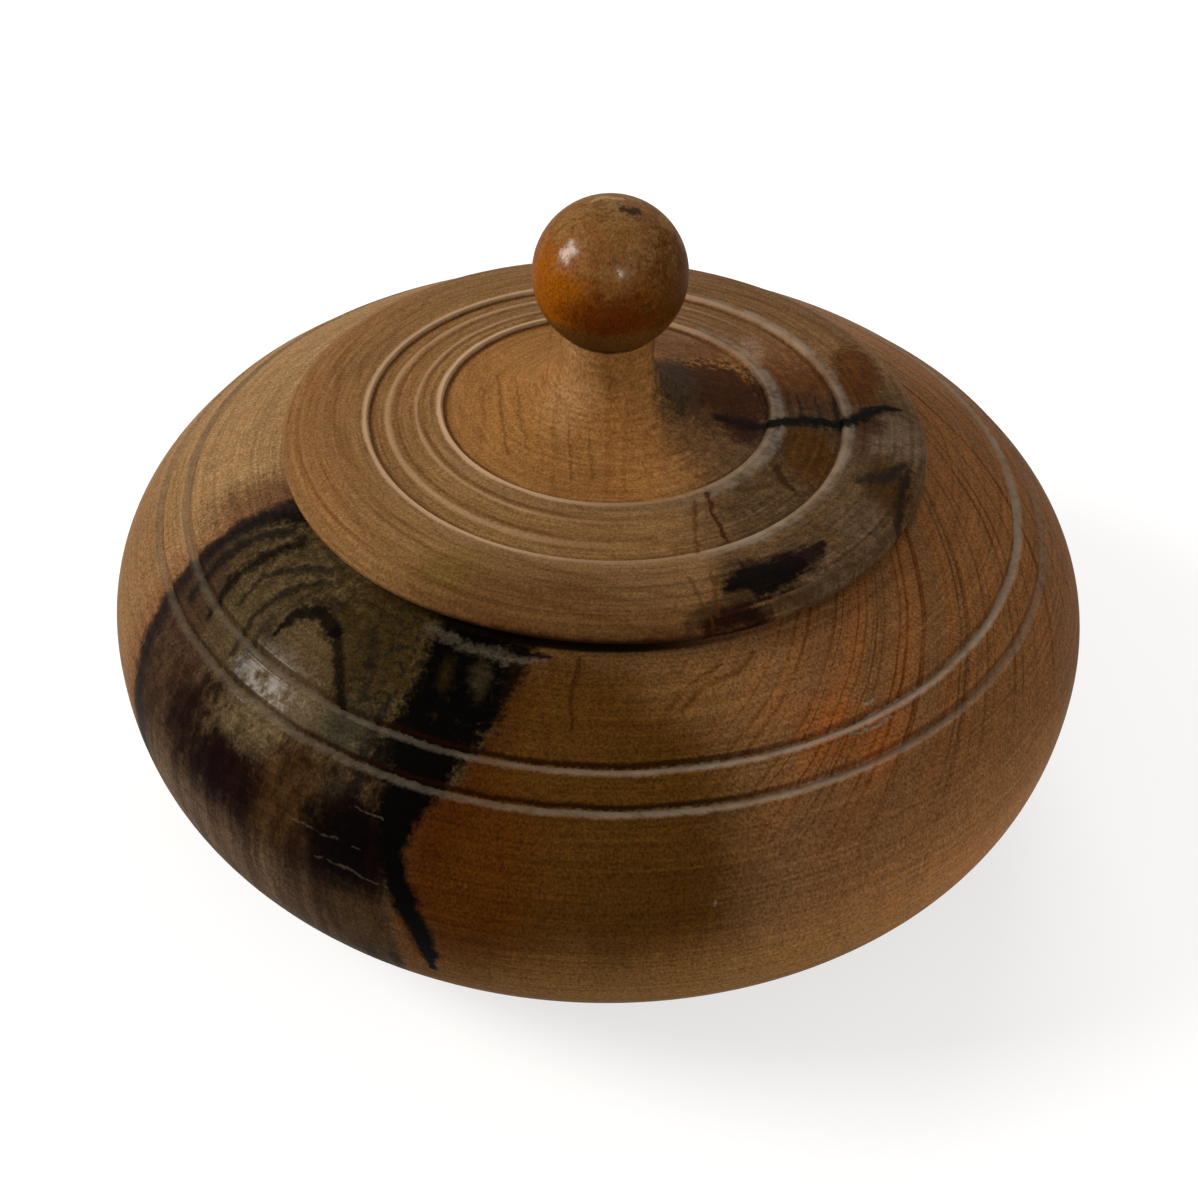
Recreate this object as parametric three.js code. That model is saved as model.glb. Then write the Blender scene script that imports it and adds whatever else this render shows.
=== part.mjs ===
// A turned wooden bowl with a lift-off lid and a ball knob, in millimetres, +Z up.
// The origin is the centre of the foot, on the surface that the bowl stands on.
import * as THREE from 'three';

// Bowl, outside
const footRadius = 28;
const footFlare = 6; // degrees that the underside rises as it leaves the foot
const footFullness = 27; // how far the underside keeps close to the foot's flare
const bellyRadius = 62.5;
const bellyHeight = 25.5;
const bellyFullnessBelow = 15.3;
const bellyFullnessAbove = 13.3;
const seatHeight = 48;
const seatWidth = 7.9; // the flat ring round the mouth that the lid lies on
const shoulderSlope = 18.2; // degrees, where the shoulder meets the lid's seat
const shoulderFullness = 10.9;

// Bowl, grooves round the shoulder
const grooveWidth = 1.5;
const grooveDepth = 0.65;
const grooveFromBelly = 16.5; // along the shoulder, from the belly to the lower groove
const grooveSpacing = 4.5;

// Bowl, inside
const wallThickness = 5.5;
const floorThickness = 7;
const floorRadius = 24;
const lipThickness = 3.6;
const mouthRadius = 31.5;
const seatRadius = mouthRadius + seatWidth;
const floorFullness = 22;
const cavityFullness = 12;
const lipFullness = 14;

// Lid
const rimOverhang = 0.4; // how far the lid's rim stands out past the seat
const rimRounding = 1.7;
const bandHeight = 4.5; // the outer arris above the seat
const bandWidth = 10.4; // from the rim to the outer arris
const bandFullness = 3.4;
const stepDepth = 0.5; // the drop just inside each arris
const stepWidth = 0.45;
const innerBandWidth = 9.1;
const innerBandRise = 1.65;
const neckHeight = 16.2; // the top of the neck above the seat
const neckLength = 3.4; // the straight part under the knob
const neckRadius = 5.6;
const coneExponent = 1.9; // how hollow the cone is: 1 is straight, 2 is a quarter ellipse
const spigotClearance = 0.4;
const spigotDepth = 4;
const undersideHollow = 1.6;
const undersideBorder = 5; // the flat ring left round the hollow

// Knob
const knobRadius = 9.2;
const knobSeatRadius = 5.2; // the flat under the ball, where it stands on the neck
const tenonRadius = 3;
const tenonLength = 8;
const tenonClearance = 0.3;
const edgeChamfer = 0.5;

// Facets
const roundSegments = 64;
const knobSegments = 40;
const shoulderSteps = 13;
const undersideSteps = 12;
const cavitySteps = 8;
const rimSteps = 4;
const bandSteps = 6;
const coneSteps = 10;
const hollowSteps = 3;
const knobSteps = 14;

const point = (radius, height) => new THREE.Vector2(radius, height);
const degrees = THREE.MathUtils.degToRad;

// A point at a distance and an angle above the horizontal from another point
function away(from, distance, angle) {
  return point(from.x + distance * Math.cos(degrees(angle)), from.y + distance * Math.sin(degrees(angle)));
}

// The outline of the shoulder, from the belly up to the lid's seat
function shoulderCurve() {
  const belly = point(bellyRadius, bellyHeight);
  const seat = point(seatRadius, seatHeight);
  const aboveBelly = away(belly, bellyFullnessAbove, 90);
  const belowSeat = away(seat, shoulderFullness, -shoulderSlope);
  return new THREE.CubicBezierCurve(belly, aboveBelly, belowSeat, seat);
}

// The shoulder's points, with each groove cut square to the surface as a V
function groovedShoulder() {
  const curve = shoulderCurve();
  const length = curve.getLength();
  const grooves = [grooveFromBelly, grooveFromBelly + grooveSpacing];
  const inGroove = (distance) => grooves.some((g) => Math.abs(distance - g) < grooveWidth);
  const stations = [];
  for (let i = 0; i <= shoulderSteps; i += 1) {
    const distance = (i / shoulderSteps) * length;
    if (!inGroove(distance)) {
      stations.push({ distance, depth: 0 });
    }
  }
  for (const groove of grooves) {
    stations.push({ distance: groove - grooveWidth / 2, depth: 0 });
    stations.push({ distance: groove, depth: grooveDepth });
    stations.push({ distance: groove + grooveWidth / 2, depth: 0 });
  }
  stations.sort((a, b) => a.distance - b.distance);
  return stations.map(({ distance, depth }) => {
    const share = distance / length;
    const tangent = curve.getTangentAt(share);
    return curve.getPointAt(share).add(point(-tangent.y, tangent.x).multiplyScalar(depth));
  });
}

// The outline of the underside, from the foot out to the belly
function underside() {
  const foot = point(footRadius, 0);
  const belly = point(bellyRadius, bellyHeight);
  const besideFoot = away(foot, footFullness, footFlare);
  const belowBelly = away(belly, bellyFullnessBelow, -90);
  return new THREE.CubicBezierCurve(foot, besideFoot, belowBelly, belly).getPoints(undersideSteps);
}

// The hollow, from the mouth's edge under the lip, round the wall and down to the floor
function cavity() {
  const lip = point(mouthRadius, seatHeight - lipThickness);
  const wall = point(bellyRadius - wallThickness, bellyHeight);
  const floor = point(floorRadius, floorThickness);
  const underLip = away(lip, lipFullness, -shoulderSlope);
  const aboveWall = away(wall, cavityFullness, 90);
  const belowWall = away(wall, cavityFullness, -90);
  const besideFloor = away(floor, floorFullness, 0);
  const upper = new THREE.CubicBezierCurve(lip, underLip, aboveWall, wall).getPoints(cavitySteps);
  const lower = new THREE.CubicBezierCurve(wall, belowWall, besideFloor, floor).getPoints(cavitySteps);
  return [...upper, ...lower.slice(1)];
}

function bowlProfile() {
  return [
    point(0, 0),
    ...underside(),
    ...groovedShoulder().slice(1),
    point(mouthRadius, seatHeight),
    ...cavity(),
    point(0, floorThickness),
  ];
}

// An arc of the lid's rim, from its underside out to its widest point
function rimArc(rimRadius) {
  return Array.from({ length: rimSteps + 1 }, (_, i) => {
    const angle = -90 + (90 * i) / rimSteps;
    return away(point(rimRadius - rimRounding, rimRounding), rimRounding, angle);
  });
}

// The hollow cone from the inner arris up to the neck, steep at the neck and flat at the arris
function cone(start, end) {
  return Array.from({ length: coneSteps + 1 }, (_, i) => {
    const angle = degrees(90 - (90 * i) / coneSteps);
    const across = Math.cos(angle) ** (2 / coneExponent);
    const down = Math.sin(angle) ** (2 / coneExponent);
    return point(start.x + (end.x - start.x) * across, end.y - (end.y - start.y) * down);
  });
}

// The lid's heights count from the seat that it lies on
function lidProfile() {
  const rimRadius = seatRadius + rimOverhang;
  const spigotRadius = mouthRadius - spigotClearance;
  const hollowRadius = spigotRadius - undersideBorder;
  const outerArris = point(rimRadius - bandWidth, bandHeight);
  const innerArris = point(outerArris.x - innerBandWidth, bandHeight + innerBandRise - stepDepth);
  const coneFoot = point(innerArris.x - stepWidth, innerArris.y - stepDepth);
  const neckFoot = point(neckRadius, neckHeight - neckLength);
  const mortiseRadius = tenonRadius + tenonClearance;
  const mortiseDepth = tenonLength + tenonClearance;
  const hollow = Array.from({ length: hollowSteps + 1 }, (_, i) => {
    const share = i / hollowSteps;
    return point(hollowRadius * share, -spigotDepth + undersideHollow * (1 - share ** 2));
  });
  const band = new THREE.CubicBezierCurve(
    point(rimRadius, rimRounding),
    point(rimRadius, rimRounding + bandFullness / 2),
    point(outerArris.x + bandFullness * 2, outerArris.y),
    outerArris,
  ).getPoints(bandSteps);
  return [
    ...hollow,
    point(spigotRadius - edgeChamfer, -spigotDepth),
    point(spigotRadius, -spigotDepth + edgeChamfer),
    point(spigotRadius, 0),
    ...rimArc(rimRadius),
    ...band.slice(1),
    point(outerArris.x - stepWidth, outerArris.y - stepDepth),
    innerArris,
    ...cone(coneFoot, neckFoot),
    point(neckRadius, neckHeight),
    point(mortiseRadius, neckHeight),
    point(mortiseRadius, neckHeight - mortiseDepth),
    point(0, neckHeight - mortiseDepth),
  ];
}

// The knob's heights count from the top of the neck that it stands on
function knobProfile() {
  const centre = point(0, Math.sqrt(knobRadius ** 2 - knobSeatRadius ** 2));
  const firstAngle = THREE.MathUtils.radToDeg(Math.atan2(-centre.y, knobSeatRadius));
  const ball = Array.from({ length: knobSteps }, (_, i) => {
    const angle = firstAngle + ((90 - firstAngle) * i) / knobSteps;
    return away(centre, knobRadius, angle);
  });
  return [
    point(0, -tenonLength),
    point(tenonRadius - edgeChamfer, -tenonLength),
    point(tenonRadius, -tenonLength + edgeChamfer),
    point(tenonRadius, 0),
    ...ball,
    point(0, centre.y + knobRadius),
  ];
}

// A lathe turns about Y, so the turned form is stood up along Z
function turned(name, profile, segments, material) {
  const geometry = new THREE.LatheGeometry(profile, segments);
  geometry.rotateX(Math.PI / 2);
  const mesh = new THREE.Mesh(geometry, material);
  mesh.name = name;
  return mesh;
}

const bowlWood = new THREE.MeshStandardMaterial({ color: 0x7d5a36, roughness: 0.62, metalness: 0 });
const lidWood = new THREE.MeshStandardMaterial({ color: 0x86633e, roughness: 0.62, metalness: 0 });
const knobWood = new THREE.MeshStandardMaterial({ color: 0x8a4a1c, roughness: 0.35, metalness: 0 });

const bowl = turned('bowl', bowlProfile(), roundSegments, bowlWood);
const lid = turned('lid', lidProfile(), roundSegments, lidWood);
const knob = turned('knob', knobProfile(), knobSegments, knobWood);
knob.position.z = neckHeight;

const cover = new THREE.Group();
cover.position.z = seatHeight;
cover.add(lid, knob);

const group = new THREE.Group();
group.add(bowl, cover);

export default group;
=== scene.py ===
"""A lidded bowl turned in spalted wood: a squat bowl, its lid and the ball knob on the lid."""

import math

import bpy
from mathutils import Matrix, Vector


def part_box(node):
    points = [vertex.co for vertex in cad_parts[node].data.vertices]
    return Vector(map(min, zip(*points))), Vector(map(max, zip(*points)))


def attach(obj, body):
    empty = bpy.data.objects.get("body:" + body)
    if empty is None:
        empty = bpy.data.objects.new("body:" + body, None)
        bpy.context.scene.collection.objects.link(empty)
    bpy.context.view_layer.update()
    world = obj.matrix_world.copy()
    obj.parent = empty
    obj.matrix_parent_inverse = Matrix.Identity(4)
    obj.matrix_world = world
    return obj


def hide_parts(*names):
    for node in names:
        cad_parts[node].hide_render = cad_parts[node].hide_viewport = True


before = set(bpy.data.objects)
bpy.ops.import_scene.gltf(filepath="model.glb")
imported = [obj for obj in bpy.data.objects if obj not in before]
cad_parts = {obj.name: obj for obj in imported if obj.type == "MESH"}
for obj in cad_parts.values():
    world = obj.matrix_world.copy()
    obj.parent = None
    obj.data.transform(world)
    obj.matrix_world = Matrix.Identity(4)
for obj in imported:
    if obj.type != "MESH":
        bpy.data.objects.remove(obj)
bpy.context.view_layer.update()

MM = 0.001

# Sizes taken from the frame, in millimetres
BELLY_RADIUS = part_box("bowl")[1].x / MM
SEAT_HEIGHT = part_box("bowl")[1].z / MM
RIM_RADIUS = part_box("lid")[1].x / MM
SPIGOT_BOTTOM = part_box("lid")[0].z / MM
NECK_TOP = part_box("lid")[1].z / MM
KNOB_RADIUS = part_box("knob")[1].x / MM
KNOB_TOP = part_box("knob")[1].z / MM
TENON_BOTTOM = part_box("knob")[0].z / MM

# Bowl, in millimetres
FOOT_RADIUS = 28.0
FOOT_FLARE = 6  # degrees that the underside rises as it leaves the foot
FOOT_FULLNESS = 27.0
BELLY_HEIGHT = 25.5
BELLY_FULLNESS_BELOW = 15.3
BELLY_FULLNESS_ABOVE = 13.3
RIM_OVERHANG = 0.4
SEAT_RADIUS = RIM_RADIUS - RIM_OVERHANG
SHOULDER_SLOPE = 18.2  # degrees, where the shoulder meets the seat
SHOULDER_FULLNESS = 10.9
MOUTH_RADIUS = 31.5
MOUTH_ROUNDING = 0.4
LIP_THICKNESS = 3.6
LIP_FULLNESS = 14
WALL_THICKNESS = 5.5
CAVITY_FULLNESS = 12
FLOOR_THICKNESS = 7.0
FLOOR_RADIUS = 24.0
FLOOR_FULLNESS = 22
FLOOR_DIP = 0.1
GROOVE_FROM_BELLY = 16.5  # along the surface
GROOVE_SPACING = 4.5
GROOVES = (GROOVE_FROM_BELLY, GROOVE_FROM_BELLY + GROOVE_SPACING)
GROOVE_WIDTH = 1.5
GROOVE_DEPTH = 0.62
GROOVE_SHARPNESS = 1.15
BURR_WIDTH = 0.55
BURR_HEIGHT = 0.10

# Lid, in millimetres above the seat or from the axis
RIM_ROUNDING = 1.7
BAND_FULLNESS = 3.4
OUTER_ARRIS = (RIM_RADIUS - 10.4, 4.5)
INNER_ARRIS = (OUTER_ARRIS[0] - 9.1, 5.65)
STEP_DEPTH = 0.5
STEP_WIDTH = 0.45
BEADS = ((26.7, 0.10), (23.3, 0.08))  # radius and height of the fine beads between the arrises
BEAD_WIDTH = 0.24
NECK_LENGTH = 3.4
NECK_RADIUS = 5.6
CONE_EXPONENT = 1.9
SPIGOT_CLEARANCE = 0.4
SPIGOT_RADIUS = MOUTH_RADIUS - SPIGOT_CLEARANCE
UNDERSIDE_HOLLOW = 1.6
UNDERSIDE_BORDER = 5  # the flat ring left round the hollow
TENON_RADIUS = 3.0
TENON_CLEARANCE = 0.3
EDGE_ROUNDING = 0.5  # on the spigot and the tenon

# The rim stands a little off the bowl at the front, widest at this turn from the front in degrees
RIM_GAP = 0.8
RIM_GAP_TURN = -12.0
RIM_GAP_SPREAD = 26.0

# The photograph's camera
VIEW_TARGET = Vector((0, 0, 21.9)) * MM
VIEW_DISTANCE = 250.0 * MM
VIEW_ELEVATION = 40.34
VIEW_LEAN = 2.0
VIEW_LENS = 56.04
SENSOR = 36.0

SEGMENTS = 480
KNOB_SEGMENTS = 160


# Outlines

def away(start, distance, angle):
    """The point at a distance and an angle above the horizontal from another point."""
    turn = math.radians(angle)
    return (start[0] + distance * math.cos(turn), start[1] + distance * math.sin(turn))


def curve(start, leave, arrive, end, steps):
    """Points of a cubic Bezier curve."""
    points = []
    for i in range(steps + 1):
        t = i / steps
        weights = ((1 - t) ** 3, 3 * (1 - t) ** 2 * t, 3 * (1 - t) * t ** 2, t ** 3)
        points.append(tuple(
            sum(w * p[axis] for w, p in zip(weights, (start, leave, arrive, end)))
            for axis in (0, 1)
        ))
    return points


def arc(centre, radius, first, last, steps):
    """Points of an arc between two angles in degrees."""
    return [away(centre, radius, first + (last - first) * i / steps) for i in range(steps + 1)]


def joined(*runs):
    """Runs of points in one line, without a point twice."""
    line = []
    for run in runs:
        for point in run:
            if not line or math.dist(line[-1], point) > 1e-4:
                line.append(point)
    return line


def walk(points, distances):
    """For each distance along a line of points: the point there and the line's direction."""
    lengths = [0.0]
    for a, b in zip(points, points[1:]):
        lengths.append(lengths[-1] + math.dist(a, b))
    stops = []
    i = 0
    for distance in distances:
        while i < len(points) - 2 and lengths[i + 1] < distance:
            i += 1
        span = lengths[i + 1] - lengths[i]
        share = (distance - lengths[i]) / span
        a, b = points[i], points[i + 1]
        place = (a[0] + (b[0] - a[0]) * share, a[1] + (b[1] - a[1]) * share)
        stops.append((place, ((b[0] - a[0]) / span, (b[1] - a[1]) / span)))
    return stops


def line_length(points):
    return sum(math.dist(a, b) for a, b in zip(points, points[1:]))


def underside_curve(steps):
    """The outside of the bowl from its foot up to the belly."""
    foot = (FOOT_RADIUS, 0.0)
    belly = (BELLY_RADIUS, BELLY_HEIGHT)
    beside_foot = away(foot, FOOT_FULLNESS, FOOT_FLARE)
    return curve(foot, beside_foot, away(belly, BELLY_FULLNESS_BELOW, -90), belly, steps)


def shoulder_curve(steps):
    """The outside of the bowl from its belly up to the lid's seat, without the grooves."""
    belly = (BELLY_RADIUS, BELLY_HEIGHT)
    seat = (SEAT_RADIUS, SEAT_HEIGHT)
    below_seat = away(seat, SHOULDER_FULLNESS, -SHOULDER_SLOPE)
    return curve(belly, away(belly, BELLY_FULLNESS_ABOVE, 90), below_seat, seat, steps)


def groove_depth(distance):
    """Depth below the shoulder of the two V grooves, with a burr raised on each one's lower edge."""
    depth = 0.0
    for groove in GROOVES:
        offset = distance - groove
        if abs(offset) < GROOVE_WIDTH / 2:
            depth += GROOVE_DEPTH * (1 - abs(offset) / (GROOVE_WIDTH / 2)) ** GROOVE_SHARPNESS
        burr = (offset + GROOVE_WIDTH / 2 + BURR_WIDTH * 0.3) / BURR_WIDTH
        depth -= BURR_HEIGHT * math.exp(-burr ** 2 * 4)
    return depth


def shoulder():
    """The outside of the bowl from the belly up to the lid's seat, with its grooves."""
    smooth = shoulder_curve(400)
    length = line_length(smooth)
    stations = [length * i / 40 for i in range(41)]
    for groove in GROOVES:
        stations = [s for s in stations if abs(s - groove) > GROOVE_WIDTH]
        stations += [groove + 0.1 * i for i in range(-14, 11)]
    stations = sorted(stations)
    return [
        (place[0] - way[1] * groove_depth(s), place[1] + way[0] * groove_depth(s))
        for s, (place, way) in zip(stations, walk(smooth, stations))
    ]


def bowl_outline():
    lip = (MOUTH_RADIUS, SEAT_HEIGHT - LIP_THICKNESS)
    wall = (BELLY_RADIUS - WALL_THICKNESS, BELLY_HEIGHT)
    floor = (FLOOR_RADIUS, FLOOR_THICKNESS)
    below_lip = away(lip, LIP_FULLNESS, -SHOULDER_SLOPE)
    under_lip = curve(lip, below_lip, away(wall, CAVITY_FULLNESS, 90), wall, 22)
    inside = curve(wall, away(wall, CAVITY_FULLNESS, -90), away(floor, FLOOR_FULLNESS, 0), floor, 22)
    mouth_centre = (MOUTH_RADIUS + MOUTH_ROUNDING, SEAT_HEIGHT - MOUTH_ROUNDING)
    return joined(
        [(0.0, 0.0), (9.0, 0.0), (18.0, 0.0), (FOOT_RADIUS - 0.6, 0.0)],
        underside_curve(34),
        shoulder(),
        arc(mouth_centre, MOUTH_ROUNDING, 90, 180, 4),
        under_lip,
        inside,
        [(radius, FLOOR_THICKNESS - FLOOR_DIP) for radius in (16.0, 8.0, 0.0)],
    )


def bead_height(radius):
    return sum(height * math.exp(-((radius - middle) / BEAD_WIDTH) ** 2) for middle, height in BEADS)


def lid_outline():
    seat = SEAT_HEIGHT
    hollow_radius = SPIGOT_RADIUS - UNDERSIDE_BORDER
    hollow = [
        (hollow_radius * i / 10, SPIGOT_BOTTOM + UNDERSIDE_HOLLOW * (1 - (i / 10) ** 2))
        for i in range(11)
    ]
    spigot_centre = (SPIGOT_RADIUS - EDGE_ROUNDING, SPIGOT_BOTTOM + EDGE_ROUNDING)
    spigot = arc(spigot_centre, EDGE_ROUNDING, -90, 0, 3)
    rim = arc((RIM_RADIUS - RIM_ROUNDING, seat + RIM_ROUNDING), RIM_ROUNDING, -90, 0, 10)
    outer = (OUTER_ARRIS[0], seat + OUTER_ARRIS[1])
    band = curve(
        (RIM_RADIUS, seat + RIM_ROUNDING),
        (RIM_RADIUS, seat + RIM_ROUNDING + BAND_FULLNESS / 2),
        (outer[0] + BAND_FULLNESS * 2, outer[1]),
        outer,
        26,
    )
    inner = (INNER_ARRIS[0], seat + INNER_ARRIS[1])
    band_foot = (outer[0] - STEP_WIDTH, outer[1] - STEP_DEPTH)
    inner_band = []
    for i in range(71):
        radius = band_foot[0] + (inner[0] - band_foot[0]) * i / 70
        height = band_foot[1] + (inner[1] - band_foot[1]) * i / 70
        inner_band.append((radius, height + bead_height(radius)))
    cone_foot = (inner[0] - STEP_WIDTH, inner[1] - STEP_DEPTH)
    neck_foot = (NECK_RADIUS, NECK_TOP - NECK_LENGTH)
    cone = []
    for i in range(31):
        turn = math.radians(90 - 3 * i)
        across = math.cos(turn) ** (2 / CONE_EXPONENT)
        down = math.sin(turn) ** (2 / CONE_EXPONENT)
        cone.append((
            cone_foot[0] + (neck_foot[0] - cone_foot[0]) * across,
            neck_foot[1] - (neck_foot[1] - cone_foot[1]) * down,
        ))
    mortise = TENON_RADIUS + TENON_CLEARANCE
    mortise_floor = TENON_BOTTOM - TENON_CLEARANCE
    return joined(
        hollow,
        spigot,
        [(SPIGOT_RADIUS, seat - 0.2), (SPIGOT_RADIUS + 0.2, seat)],
        rim,
        band,
        inner_band,
        cone,
        [(NECK_RADIUS, NECK_TOP - 0.2), (NECK_RADIUS - 0.15, NECK_TOP)],
        [(mortise, NECK_TOP), (mortise, mortise_floor), (0.0, mortise_floor)],
    )


def knob_outline():
    centre = (0.0, KNOB_TOP - KNOB_RADIUS)
    seat_angle = -math.degrees(math.asin((centre[1] - NECK_TOP) / KNOB_RADIUS))
    return joined(
        [(0.0, TENON_BOTTOM), (TENON_RADIUS - EDGE_ROUNDING, TENON_BOTTOM)],
        [(TENON_RADIUS, TENON_BOTTOM + EDGE_ROUNDING), (TENON_RADIUS, NECK_TOP)],
        arc(centre, KNOB_RADIUS, seat_angle, 90, 60),
    )


# Turning

def turn_on_lathe(name, outline, segments):
    """A piece turned from its outline: a vertex drawn out into the outline and screwed round the axis."""
    bpy.ops.object.select_all(action="DESELECT")
    bpy.ops.mesh.primitive_plane_add(size=MM, location=(0, 0, 0))
    piece = bpy.context.object
    piece.name = name
    bpy.ops.object.mode_set(mode="EDIT")
    bpy.ops.mesh.merge(type="CENTER")
    here = Vector((outline[0][0], 0, outline[0][1])) * MM
    bpy.ops.transform.translate(value=here)
    for radius, height in outline[1:]:
        there = Vector((radius, 0, height)) * MM
        bpy.ops.mesh.extrude_region_move(TRANSFORM_OT_translate={"value": there - here})
        here = there
    bpy.ops.object.mode_set(mode="OBJECT")
    lathe = piece.modifiers.new("lathe", "SCREW")
    lathe.axis = "Z"
    lathe.steps = lathe.render_steps = segments
    lathe.use_merge_vertices = True
    lathe.merge_threshold = 0.01 * MM
    bpy.ops.object.modifier_apply(modifier=lathe.name)
    bpy.ops.object.mode_set(mode="EDIT")
    bpy.ops.mesh.select_all(action="SELECT")
    bpy.ops.mesh.remove_doubles(threshold=0.01 * MM)
    bpy.ops.mesh.normals_make_consistent(inside=False)
    bpy.ops.object.mode_set(mode="OBJECT")
    bpy.ops.object.shade_smooth_by_angle(angle=math.radians(35))
    return piece


def lift_rim(lid):
    """Raises the underside of the lid's rim at the front, where it stands a little off the bowl."""
    rim = lid.vertex_groups.new(name="rim")
    for vertex in lid.data.vertices:
        x, y, z = vertex.co / MM
        height = z - SEAT_HEIGHT
        if math.hypot(x, y) > SPIGOT_RADIUS + 0.5 and -0.01 < height < RIM_ROUNDING:
            turn = math.degrees(math.atan2(x, -y)) - RIM_GAP_TURN
            share = (1 - height / RIM_ROUNDING) * math.exp(-(turn / RIM_GAP_SPREAD) ** 2)
            rim.add([vertex.index], share, "REPLACE")
    lift = lid.modifiers.new("lift", "DISPLACE")
    lift.vertex_group = rim.name
    lift.direction = "Z"
    lift.strength = RIM_GAP * MM
    lift.mid_level = 0.0
    bpy.ops.object.modifier_apply(modifier=lift.name)


# Shader nodes

def solid(colour):
    return (*colour, 1.0)


def in_space(point, third):
    """A point or a size with its third value filled in where it is given in plan."""
    return (*point, third)[:3]


class Board:
    """A tree of shader nodes. Inputs are given as plain values or as other nodes' outputs."""

    def __init__(self, tree):
        self.tree = tree

    def node(self, kind, inputs, **settings):
        made = self.tree.nodes.new("ShaderNode" + kind)
        for name, value in settings.items():
            setattr(made, name, value)
        for name, value in inputs.items():
            self.feed(made.inputs[name], value)
        return made

    def feed(self, socket, value):
        if isinstance(value, bpy.types.NodeSocket):
            self.tree.links.new(value, socket)
        else:
            socket.default_value = value

    def sum(self, operation, *values):
        return self.node("Math", dict(enumerate(values)), operation=operation).outputs[0]

    def vector(self, operation, *values):
        made = self.node("VectorMath", dict(enumerate(values)), operation=operation)
        return made.outputs["Value" if operation in ("LENGTH", "DISTANCE", "DOT_PRODUCT") else "Vector"]

    def scaled(self, vector, factor):
        return self.node("VectorMath", {0: vector, "Scale": factor}, operation="SCALE").outputs[0]

    def split(self, vector):
        return self.node("SeparateXYZ", {0: vector}).outputs

    def together(self, x, y, z):
        return self.node("CombineXYZ", {0: x, 1: y, 2: z}).outputs[0]

    def rise(self, value, low, high):
        """A soft step from 0 at low to 1 at high. It falls where low is above high."""
        inputs = {"Value": value, "From Min": low, "From Max": high}
        return self.node("MapRange", inputs, interpolation_type="SMOOTHSTEP", clamp=False).outputs[0]

    def between(self, share, first, second):
        """A value that goes from one number to another as a share goes from 0 to 1."""
        inputs = {"Value": share, "To Min": first, "To Max": second}
        return self.node("MapRange", inputs, clamp=False).outputs[0]

    def noise(self, place, size, detail=2.0, roughness=0.5):
        inputs = {"Vector": place, "Scale": 1 / size, "Detail": detail, "Roughness": roughness}
        return self.node("TexNoise", inputs).outputs["Fac"]

    def line_noise(self, value, size, detail=2.0, roughness=0.5):
        """Noise along one value, such as a distance."""
        inputs = {"W": value, "Scale": 1 / size, "Detail": detail, "Roughness": roughness}
        return self.node("TexNoise", inputs, noise_dimensions="1D").outputs["Fac"]

    def paint(self, share, under, over, kind="MIX"):
        """A colour laid over another one as far as a share says."""
        under, over = (c if isinstance(c, bpy.types.NodeSocket) else solid(c) for c in (under, over))
        return self.node("Mix", {0: share, 6: under, 7: over}, data_type="RGBA", blend_type=kind).outputs[2]

    def ramp(self, value, stops):
        """A colour that changes with a value, from places and colours in a row."""
        made = self.node("ValToRGB", {0: value})
        elements = made.color_ramp.elements
        while len(elements) < len(stops):
            elements.new(1.0)
        for element, (position, colour) in zip(elements, stops):
            element.position = position
            element.color = solid(colour)
        return made.outputs[0]

    def use(self, group, inputs):
        made = self.tree.nodes.new("ShaderNodeGroup")
        made.node_tree = group
        for name, value in inputs.items():
            self.feed(made.inputs[name], value)
        return made.outputs

    def stain(self, place, fray, centre, half_size, softness):
        """How far a place is inside an oval stain. Fray roughens the stain's edge."""
        inputs = {
            "Place": place,
            "Fray": fray,
            "Centre": in_space(centre, 0.0),
            "Half Size": in_space(half_size, 1.0),
            "Softness": softness,
        }
        return self.use(STAIN, inputs)["Share"]

    def streak(self, place, fray, softness, points):
        """How far a place is inside a streak drawn through points. Each point ends in its half width."""
        reach = None
        for start, end in zip(points, points[1:]):
            inputs = {
                "Place": place,
                "Start": in_space(start[:-1], 0.0),
                "End": in_space(end[:-1], 0.0),
                "Start Width": start[-1],
                "End Width": end[-1],
            }
            here = self.use(STREAK, inputs)["Reach"]
            reach = self.sum("MINIMUM", reach, here) if reach else here
        return self.rise(self.sum("ADD", reach, fray), 1.0 + softness, 1.0 - softness)

    def stained(self, colour, place, fray, stains):
        """A colour with oval stains laid over it: tint, strength, softness, centre, half size."""
        for tint, strength, softness, centre, half_size in stains:
            share = self.stain(place, fray, centre, half_size, softness)
            colour = self.paint(self.sum("MULTIPLY", share, strength), colour, tint)
        return colour

    def streaked(self, colour, place, fray, streaks):
        """A colour with streaks laid over it: tint, strength, softness, points."""
        for tint, strength, softness, *points in streaks:
            share = self.streak(place, fray, softness, points)
            colour = self.paint(self.sum("MULTIPLY", share, strength), colour, tint)
        return colour

    def toned(self, colour, value, low, high, dark, light):
        """A colour darkened where a value is low and lightened where it is high."""
        tone = self.ramp(value, [(low, dark), (0.5, WHITE), (high, light)])
        return self.paint(1.0, colour, tone, "MULTIPLY")


def group(name, inputs, outputs):
    """An empty node group: its board, its inputs and its output node."""
    tree = bpy.data.node_groups.new(name, "ShaderNodeTree")
    for title, value in inputs.items():
        kind = "NodeSocketVector" if isinstance(value, tuple) else "NodeSocketFloat"
        tree.interface.new_socket(title, in_out="INPUT", socket_type=kind).default_value = value
    for title in outputs:
        kind = "NodeSocketVector" if title == "Place" else "NodeSocketFloat"
        tree.interface.new_socket(title, in_out="OUTPUT", socket_type=kind)
    board = Board(tree)
    return board, tree.nodes.new("NodeGroupInput").outputs, tree.nodes.new("NodeGroupOutput").inputs


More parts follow.
